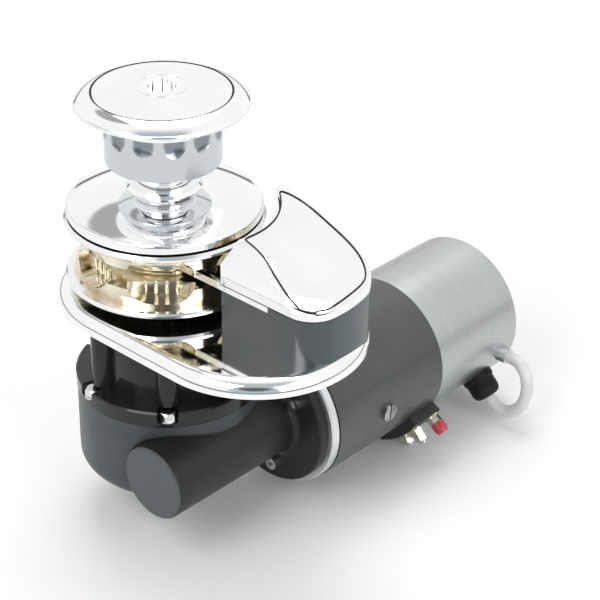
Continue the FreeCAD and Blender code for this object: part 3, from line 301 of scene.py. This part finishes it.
nodeFinish = {
    "deckChrome": ["base_plate", "hood_cap", "chain_stripper", "bell_flange", "clutch_cap"],
    "drumChrome": ["rope_drum"],
    "darkScrew": ["cover_screws"],
    "wheelBronze": ["chain_wheel"],
    "gearCasting": ["gearbox"],
    "neckCasting": ["deck_spacer"],
    "hoodPaint": ["chain_hood"],
    "motorPaint": ["motor_case"],
    "canBrushed": ["motor_cover"],
    "ringCast": ["motor_bracket", "hose_nipple"],
    "stainless": ["hood_screws", "stripper_screws", "neck_screws", "neck_bolts", "motor_bolts", "tie_bolts",
                  "terminal_studs"],
    "groundSteel": ["main_shaft", "drive_keys", "shaft_spacer", "lower_cone", "upper_cone", "worm", "motor_shaft",
                    "drive_coupling", "upper_bearing_outer", "upper_bearing_inner", "upper_bearing_balls",
                    "lower_bearing_outer", "lower_bearing_inner", "lower_bearing_balls", "worm_bearing_outer",
                    "worm_bearing_inner", "worm_bearing_balls", "motor_bearing_outer", "motor_bearing_inner",
                    "motor_bearing_balls"],
    "gearBronze": ["worm_gear", "thrust_washer"],
    "copperWire": ["armature_winding", "commutator"],
    "ironStack": ["armature_core"],
    "magnetBlock": ["magnets"],
    "carbon": ["brushes"],
    "insulator": ["brush_plate", "terminal_block"],
    "bootRubber": ["shaft_seal", "worm_seal", "cable_boot"],
    "redCap": ["terminal_cap"],
    "platedBrass": ["terminal_nuts", "brush_holders"],
}
for finish, names in nodeFinish.items():
    for name in names:
        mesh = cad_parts[name].data
        mesh.materials.clear()
        mesh.materials.append(finishes[finish][0])
print("finishes on", sum(len(names) for names in nodeFinish.values()), "solids")


# Pieces made here
def plainMesh(maker, name, material):
    # the maker's evaluated shape as a mesh of its own, and the maker goes
    bpy.context.view_layer.update()
    graph = bpy.context.evaluated_depsgraph_get()
    mesh = bpy.data.meshes.new_from_object(maker.evaluated_get(graph), depsgraph=graph)
    bpy.data.objects.remove(maker)
    mesh.name = name
    piece = bpy.data.objects.new(name, mesh)
    scene.collection.objects.link(piece)
    mesh.materials.clear()
    mesh.materials.append(material)
    return piece


def hoseFinish():
    material, tree, shader = baseFinish("clearHose", {
        "shade": (0.60, 0.60, 0.60), "light": (0.74, 0.73, 0.73), "rough": (0.22, 0.34), "patch": 60,
        "grain": (900, 0.00001)})
    shader.inputs["Subsurface Weight"].default_value = 0.35
    shader.inputs["Subsurface Radius"].default_value = (0.004, 0.004, 0.004)
    return material


hose = {
    "diameter": 0.0084,
    "length": 0.0723,
    "points": [
        (0.0904, 0.2140, -0.1362), (0.0952, 0.2140, -0.14075), (0.1020, 0.2146, -0.1427),
        (0.1092, 0.2156, -0.1408), (0.1145, 0.2170, -0.1356), (0.1170, 0.2186, -0.1284),
        (0.1170, 0.2202, -0.1206), (0.1143, 0.2218, -0.1134), (0.1089, 0.2236, -0.1083),
        (0.1020, 0.2250, -0.1066), (0.0960, 0.2250, -0.1066),
    ],
}


def layHose(sizes):
    curve = bpy.data.curves.new("drainHose", "CURVE")
    curve.dimensions = "3D"
    curve.bevel_depth = sizes["diameter"] / 2
    curve.bevel_resolution = 8
    curve.resolution_u = 12
    curve.use_fill_caps = True
    spline = curve.splines.new("NURBS")
    spline.points.add(len(sizes["points"]) - 1)
    for knot, place in zip(spline.points, sizes["points"]):
        knot.co = (*place, 1.0)
    spline.order_u = 3
    spline.use_endpoint_u = True
    curve.materials.append(hoseFinish())
    piece = bpy.data.objects.new("drainHose", curve)
    scene.collection.objects.link(piece)
    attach(piece, "frame")
    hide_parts("drain_hose")


layHose(hose)
print("hose laid")


# Geometry Nodes: copies of a shape on points that look along a direction
def newTree(name, floats, counts=()):
    tree = bpy.data.node_groups.new(name, "GeometryNodeTree")
    face = tree.interface
    face.new_socket("Geometry", in_out="INPUT", socket_type="NodeSocketGeometry")
    for key in floats:
        face.new_socket(key, in_out="INPUT", socket_type="NodeSocketFloat")
    for key in counts:
        face.new_socket(key, in_out="INPUT", socket_type="NodeSocketInt")
    face.new_socket("Finish", in_out="INPUT", socket_type="NodeSocketMaterial")
    face.new_socket("Geometry", in_out="OUTPUT", socket_type="NodeSocketGeometry")
    return tree, addNode(tree, "NodeGroupInput").outputs


def joinUp(tree, pairs):
    for start, end in pairs:
        tree.links.new(start, end)


def copyOnPoints(tree, source, shape, axis):
    way = addNode(tree, "GeometryNodeInputNamedAttribute", data_type="FLOAT_VECTOR")
    way.inputs["Name"].default_value = "way"
    align = addNode(tree, "FunctionNodeAlignRotationToVector", axis=axis)
    copies = addNode(tree, "GeometryNodeInstanceOnPoints")
    real = addNode(tree, "GeometryNodeRealizeInstances")
    smooth = addNode(tree, "GeometryNodeSetShadeSmooth")
    paint = addNode(tree, "GeometryNodeSetMaterial")
    target = addNode(tree, "NodeGroupOutput")
    joinUp(tree, (
        (source["Geometry"], copies.inputs["Points"]), (shape, copies.inputs["Instance"]),
        (way.outputs["Attribute"], align.inputs["Vector"]),
        (align.outputs["Rotation"], copies.inputs["Rotation"]),
        (copies.outputs["Instances"], real.inputs["Geometry"]),
        (real.outputs["Geometry"], smooth.inputs["Geometry"]),
        (smooth.outputs["Geometry"], paint.inputs["Geometry"]),
        (source["Finish"], paint.inputs["Material"]),
        (paint.outputs["Geometry"], target.inputs["Geometry"])))


def ringTree(beadFacets=8):
    # a stack of rings
    tree, source = newTree("ringStacks", ("Ring radius", "Bead radius", "Pitch"), ("Rings", "Facets"))
    circle = addNode(tree, "GeometryNodeCurvePrimitiveCircle")
    bead = addNode(tree, "GeometryNodeCurvePrimitiveCircle")
    bead.inputs["Resolution"].default_value = beadFacets
    sweep = addNode(tree, "GeometryNodeCurveToMesh")
    line = addNode(tree, "GeometryNodeMeshLine")
    step = addNode(tree, "ShaderNodeCombineXYZ")
    stack = addNode(tree, "GeometryNodeInstanceOnPoints")
    whole = addNode(tree, "GeometryNodeRealizeInstances")
    joinUp(tree, (
        (source["Ring radius"], circle.inputs["Radius"]), (source["Facets"], circle.inputs["Resolution"]),
        (source["Bead radius"], bead.inputs["Radius"]), (circle.outputs["Curve"], sweep.inputs["Curve"]),
        (bead.outputs["Curve"], sweep.inputs["Profile Curve"]), (source["Rings"], line.inputs["Count"]),
        (source["Pitch"], step.inputs["Z"]), (step.outputs["Vector"], line.inputs["Offset"]),
        (line.outputs["Mesh"], stack.inputs["Points"]), (sweep.outputs["Mesh"], stack.inputs["Instance"]),
        (stack.outputs["Instances"], whole.inputs["Geometry"])))
    copyOnPoints(tree, source, whole.outputs["Geometry"], "Z")
    return tree


def onPoints(name, tree, places, inputs, material, body):
    # places are (point, direction) pairs; the tree sets one copy on each
    mesh = bpy.data.meshes.new(name + "Points")
    mesh.from_pydata([place for place, way in places], [], [])
    ways = mesh.attributes.new("way", "FLOAT_VECTOR", "POINT")
    for item, (place, way) in zip(ways.data, places):
        item.vector = way
    maker = bpy.data.objects.new(name + "Maker", mesh)
    scene.collection.objects.link(maker)
    modifier = maker.modifiers.new("maker", "NODES")
    modifier.node_group = tree
    sockets = {item.name: item.identifier for item in tree.interface.items_tree if item.in_out == "INPUT"}
    for key, value in inputs.items():
        modifier[sockets[key]] = value
    modifier[sockets["Finish"]] = material
    piece = plainMesh(maker, name, material)
    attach(piece, body)
    return piece


rings = ringTree()
motorAxis = {"x": 0.043, "z": -0.0912}


def motorWay(angle):
    turn = math.radians(angle)
    return Vector((math.cos(turn), 0, math.sin(turn)))


def motorPoint(angle, reach, y):
    return Vector((motorAxis["x"], y, motorAxis["z"])) + motorWay(angle) * reach


studs = {"places": [(-63, 0.1505), (-49, 0.1475)], "top": 0.0661, "pitch": 0.0005, "rings": 4,
         "radius": 0.00246, "bead": 0.0002}
onPoints("studThreads", rings, [(motorPoint(a, studs["top"], y), motorWay(a)) for a, y in studs["places"]],
         {"Ring radius": studs["radius"], "Bead radius": studs["bead"], "Pitch": studs["pitch"],
          "Rings": studs["rings"], "Facets": 32}, finishes["stainless"][0], "frame")

boot = {"angle": -43.5, "y": 0.214, "start": 0.0550, "pitch": 0.0022, "rings": 3, "radius": 0.0096,
        "bead": 0.0007}
onPoints("bootRings", rings, [(motorPoint(boot["angle"], boot["start"], boot["y"]), motorWay(boot["angle"]))],
         {"Ring radius": boot["radius"], "Bead radius": boot["bead"], "Pitch": boot["pitch"],
          "Rings": boot["rings"], "Facets": 64}, finishes["bootRubber"][0], "frame")

seals = {"front": 0.0575, "rear": 0.1573, "radius": 0.0488, "bead": 0.00035}
onPoints("caseSeals", rings,
         [(Vector((motorAxis["x"], y, motorAxis["z"])), Vector((0, 1, 0)))
          for y in (seals["front"], seals["rear"])],
         {"Ring radius": seals["radius"], "Bead radius": seals["bead"], "Pitch": 0.001, "Rings": 1,
          "Facets": 128},
         finishes["bootRubber"][0], "frame")

capSeal = {"z": 0.1337, "radius": 0.04115, "bead": 0.00042}
onPoints("capSeal", rings, [((0, 0, capSeal["z"]), (0, 0, 1))],
         {"Ring radius": capSeal["radius"], "Bead radius": capSeal["bead"], "Pitch": 0.001, "Rings": 1,
          "Facets": 160},
         finishes["bootRubber"][0], "clutch_cap")
print("rings made")


def ridgeTree(segments=20, rings=12):
    # one long bead, tapered at both ends
    tree, source = newTree("pocketRidges", ("Length", "Width", "Depth"))
    bead = addNode(tree, "GeometryNodeMeshUVSphere")
    for key, value in (("Segments", segments), ("Rings", rings), ("Radius", 0.5)):
        bead.inputs[key].default_value = value
    size = addNode(tree, "ShaderNodeCombineXYZ")
    shape = addNode(tree, "GeometryNodeTransform")
    joinUp(tree, (
        (source["Depth"], size.inputs["X"]), (source["Width"], size.inputs["Y"]),
        (source["Length"], size.inputs["Z"]), (size.outputs["Vector"], shape.inputs["Scale"]),
        (bead.outputs["Mesh"], shape.inputs["Geometry"])))
    copyOnPoints(tree, source, shape.outputs["Geometry"], "X")
    return tree


wheelRidges = {"pockets": 6, "turn": -47.7, "reach": 0.0408, "aside": (-0.0095, -0.0032, 0.0032, 0.0095),
               "midZ": 0.0365, "rise": 0.0095, "length": 0.0105, "width": 0.0022, "depth": 0.0028}


def ridgePlaces(sizes):
    places = []
    for pocket in range(sizes["pockets"]):
        turn = math.radians(sizes["turn"] + 360 * pocket / sizes["pockets"])
        out = Vector((math.cos(turn), math.sin(turn), 0))
        side = Vector((-math.sin(turn), math.cos(turn), 0))
        for aside in sizes["aside"]:
            for rise in (-sizes["rise"], sizes["rise"]):
                places.append((out * sizes["reach"] + side * aside + Vector((0, 0, sizes["midZ"] + rise)), out))
    return places


onPoints("pocketRidges", ridgeTree(), ridgePlaces(wheelRidges),
         {"Length": wheelRidges["length"], "Width": wheelRidges["width"], "Depth": wheelRidges["depth"]},
         finishes["wheelBronze"][0], "chain_wheel")
print("pocket ridges made")

hoodJoint = {
    "z": 0.0387, "thick": 0.00045, "nearY": -0.0176, "wheelRadius": 0.066, "endX": 0.1353, "cornerRadius": 0.018,
    "farCentre": 0.0747, "farRadius": 0.0654, "farStart": 31.4, "leftX": 0.034, "bulge": (0.1349, 0.0152),
}


def arcPoints(centre, radius, first, last, count=24):
    turns = [math.radians(first + (last - first) * k / count) for k in range(count + 1)]
    return [(centre[0] + radius * math.cos(turn), centre[1] + radius * math.sin(turn)) for turn in turns]


def jointPath(sizes):
    # the hood's plan: near side, corner, end, far side and the side that follows the wheel
    r, near = sizes["wheelRadius"], sizes["nearY"]
    nearTurn = math.degrees(math.asin(near / r))
    leftTurn = math.degrees(math.acos(sizes["leftX"] / r))
    corner = (sizes["endX"] - sizes["cornerRadius"], near + sizes["cornerRadius"])
    path = arcPoints(corner, sizes["cornerRadius"], -90, 0)
    path += [sizes["bulge"]]
    path += arcPoints((sizes["farCentre"], 0), sizes["farRadius"], sizes["farStart"], 90)
    path += [(sizes["leftX"], sizes["farRadius"])]
    return path + arcPoints((0, 0), r, leftTurn, nearTurn, 40)


def layLine(name, points, thick, material):
    # a closed thin line, as a mesh
    curve = bpy.data.curves.new(name, "CURVE")
    curve.dimensions = "3D"
    curve.bevel_depth = thick
    curve.bevel_resolution = 3
    spline = curve.splines.new("POLY")
    spline.points.add(len(points) - 1)
    for knot, place in zip(spline.points, points):
        knot.co = (*place, 1.0)
    spline.use_cyclic_u = True
    maker = bpy.data.objects.new(name + "Maker", curve)
    scene.collection.objects.link(maker)
    piece = plainMesh(maker, name, finishes[material][0])
    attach(piece, "frame")


def pulledIn(sizes, inset):
    # the same plan, smaller by an inset
    plan = dict(sizes)
    plan["nearY"] += inset
    plan["wheelRadius"] += inset
    plan["endX"] -= inset
    plan["cornerRadius"] -= inset
    plan["farRadius"] -= inset
    plan["leftX"] += inset
    plan["bulge"] = (sizes["bulge"][0] - inset, sizes["bulge"][1])
    return plan


# a thin black line in the crease round the cap's crown and along the top of its near bevel: painted shade where the
# crease's shadow falls
crownShadeLine = {"onBand": 0.0019, "onEdge": 0.0026, "thick": 0.0005, "lift": 0.0002, "bevelTilt": -0.6,
             "step": 0.0004, "startX": 0.069, "endX": 0.0985, "columns": 24, "smoothings": 6, "above": 0.2}


def crownPath(sizes):
    # round the crown inside the rim band, then along the top of the near bevel, evened out and laid on the cap
    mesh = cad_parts["hood_cap"].data
    cap = BVHTree.FromPolygons([v.co[:] for v in mesh.vertices], [p.vertices[:] for p in mesh.polygons])

    def onCap(x, y):
        return cap.ray_cast((x, y, sizes["above"]), (0, 0, -1))[:2]

    flat = []
    band = jointPath(pulledIn(hoodJoint, sizes["onBand"]))
    edge = jointPath(pulledIn(hoodJoint, sizes["onEdge"]))
    for probe, place in zip(band, edge):
        hit, normal = onCap(*probe)
        if hit and normal.y > sizes["bevelTilt"]:
            flat.append(place)
    span = sizes["endX"] - sizes["startX"]
    for k in range(sizes["columns"] + 1):
        x = sizes["startX"] + span * k / sizes["columns"]
        y = hoodJoint["nearY"] + sizes["onEdge"]
        normal = onCap(x, y)[1]
        while normal and normal.y < sizes["bevelTilt"]:
            y += sizes["step"]
            normal = onCap(x, y)[1]
        flat.append((x, y))
    for turn in range(sizes["smoothings"]):
        flat = [tuple((a + 2 * m + z) / 4 for a, m, z in zip(flat[k - 1], flat[k], flat[(k + 1) % len(flat)]))
                for k in range(len(flat))]
    return [(x, y, onCap(x, y)[0].z + sizes["lift"]) for x, y in flat]


layLine("hoodJoint", [(x, y, hoodJoint["z"]) for x, y in jointPath(hoodJoint)], hoodJoint["thick"],
        "bootRubber")
# the crown's black line is painted shade
layLine("crownShadeLine", crownPath(crownShadeLine), crownShadeLine["thick"], "bootRubber")
print("hood lines laid")


# Floor, backdrop and light
studio = {"floorZ": -0.1535, "floorRadius": 1.35, "stepTurn": 5, "fade": (0.14, 0.5), "centre": (0.04, 0.09),
          "white": 0.88, "lampAim": (0.04, 0.07, 0)}


def layFloor(sizes):
    mesh = bpy.data.meshes.new("floor")
    r = sizes["floorRadius"]
    turns = [math.radians(a) for a in range(0, 360, sizes["stepTurn"])]
    corners = [(r * math.cos(turn), r * math.sin(turn), sizes["floorZ"]) for turn in turns]
    mesh.from_pydata(corners, [], [tuple(range(len(corners)))])
    floor = bpy.data.objects.new("floor", mesh)
    scene.collection.objects.link(floor)
    material = bpy.data.materials.new("floor")
    material.use_nodes = True
    tree = material.node_tree
    tree.nodes.clear()
    out = addNode(tree, "ShaderNodeOutputMaterial")
    plain = addNode(tree, "ShaderNodeBsdfDiffuse")
    plain.inputs["Color"].default_value = (sizes["white"],) * 3 + (1,)
    glow = addNode(tree, "ShaderNodeEmission")
    rays = addNode(tree, "ShaderNodeLightPath")
    seen = maths(tree, "MAXIMUM", rays.outputs["Is Camera Ray"], rays.outputs["Is Glossy Ray"])
    seen = maths(tree, "MAXIMUM", seen, rays.outputs["Is Transmission Ray"])
    away = spread(tree, radiusAbout(tree, *sizes["centre"]), *sizes["fade"], smooth=True)
    mix = addNode(tree, "ShaderNodeMixShader")
    tree.links.new(maths(tree, "MULTIPLY", seen, away), mix.inputs[0])
    tree.links.new(plain.outputs[0], mix.inputs[1])
    tree.links.new(glow.outputs[0], mix.inputs[2])
    tree.links.new(mix.outputs[0], out.inputs["Surface"])
    mesh.materials.append(material)


room = {
    "towardsCamera": (0.5796, -0.6363, 0.5090), "front": (0.674, -0.739, 0.0), "side": (0.739, 0.674, 0.0),
    "card": (0.955, 0.985), "cardLevel": 0.14, "skirting": (0.015, 0.08), "skirtingLevel": 0.2,
    "flag": (-0.558, 0.182, 0.81), "flagSize": (0.950, 0.970), "flagLevel": 0.42,
    "frontWall": (0.0, 0.4), "frontLevel": 0.55, "softbox": (0.30, 0.50), "tint": (0.86, 0.94, 1.0),
    "ambient": 0.55,
}


def along(tree, way, axis):
    node = addNode(tree, "ShaderNodeVectorMath", operation="DOT_PRODUCT")
    tree.links.new(way, node.inputs[0])
    node.inputs[1].default_value = axis
    return node.outputs["Value"]


def fade(tree, factor, first, second):
    # first where the factor is 0, second where it is 1
    node = addNode(tree, "ShaderNodeMix", data_type="FLOAT")
    for socket, value in zip(node.inputs[:1] + node.inputs[2:4], (factor, first, second)):
        if isinstance(value, bpy.types.NodeSocket):
            tree.links.new(value, socket)
        else:
            socket.default_value = value
    return node.outputs[0]


def lightWorld(sizes):
    # what metal mirrors: white behind, a grey wall in front with two softboxes, a dark card on the photo's
    # side, a grey flag up behind and a dark skirting; the eye sees plain white
    world = bpy.data.worlds.new("studio")
    scene.world = world
    world.use_nodes = True
    tree = world.node_tree
    tree.nodes.clear()
    out = addNode(tree, "ShaderNodeOutputWorld")
    rays = addNode(tree, "ShaderNodeLightPath")
    way = addNode(tree, "ShaderNodeTexCoord").outputs["Generated"]
    height = maths(tree, "ABSOLUTE", axes(tree, way)[2])
    front = spread(tree, along(tree, way, sizes["front"]), *sizes["frontWall"], smooth=True)
    aside = maths(tree, "ABSOLUTE", along(tree, way, sizes["side"]))
    boxes = spread(tree, aside, *sizes["softbox"], smooth=True)
    wall = fade(tree, boxes, sizes["frontLevel"], 1.0)
    level = fade(tree, front, 1.0, wall)
    card = spread(tree, along(tree, way, sizes["towardsCamera"]), *sizes["card"], smooth=True)
    level = fade(tree, card, level, sizes["cardLevel"])
    flag = spread(tree, along(tree, way, sizes["flag"]), *sizes["flagSize"], smooth=True)
    level = fade(tree, flag, level, sizes["flagLevel"])
    level = fade(tree, spread(tree, height, *sizes["skirting"], smooth=True), sizes["skirtingLevel"], level)
    level = fade(tree, rays.outputs["Is Glossy Ray"], sizes["ambient"], level)
    seen = maths(tree, "MAXIMUM", rays.outputs["Is Camera Ray"], rays.outputs["Is Transmission Ray"])
    level = maths(tree, "MAXIMUM", level, seen)
    sky = addNode(tree, "ShaderNodeBackground")
    cool = maths(tree, "MULTIPLY", front, maths(tree, "SUBTRACT", 1.0, boxes))
    cool = maths(tree, "MULTIPLY", cool, maths(tree, "SUBTRACT", 1.0, seen))
    tree.links.new(blendColour(tree, cool, (1.0, 1.0, 1.0), sizes["tint"]), sky.inputs["Color"])
    tree.links.new(level, sky.inputs["Strength"])
    tree.links.new(sky.outputs[0], out.inputs["Surface"])


lamps = {
    "keyLamp": {"place": (0.15, -1.25, 1.15), "size": 0.9, "power": 13.0},
    "fillLamp": {"place": (1.5, -0.1, 0.65), "size": 1.1, "power": 8.0},
    "topLamp": {"place": (-0.35, 0.45, 1.45), "size": 1.0, "power": 12.0},
}


def hangLamps(sizes, aim):
    for name, lamp in sizes.items():
        data = bpy.data.lights.new(name, "AREA")
        data.size = lamp["size"]
        data.energy = lamp["power"]
        light = bpy.data.objects.new(name, data)
        scene.collection.objects.link(light)
        light.location = lamp["place"]
        light.rotation_euler = (Vector(aim) - light.location).to_track_quat("-Z", "Y").to_euler()


layFloor(studio)
lightWorld(room)
hangLamps(lamps, studio["lampAim"])
scene.view_settings.view_transform = "Standard"
print("studio set")
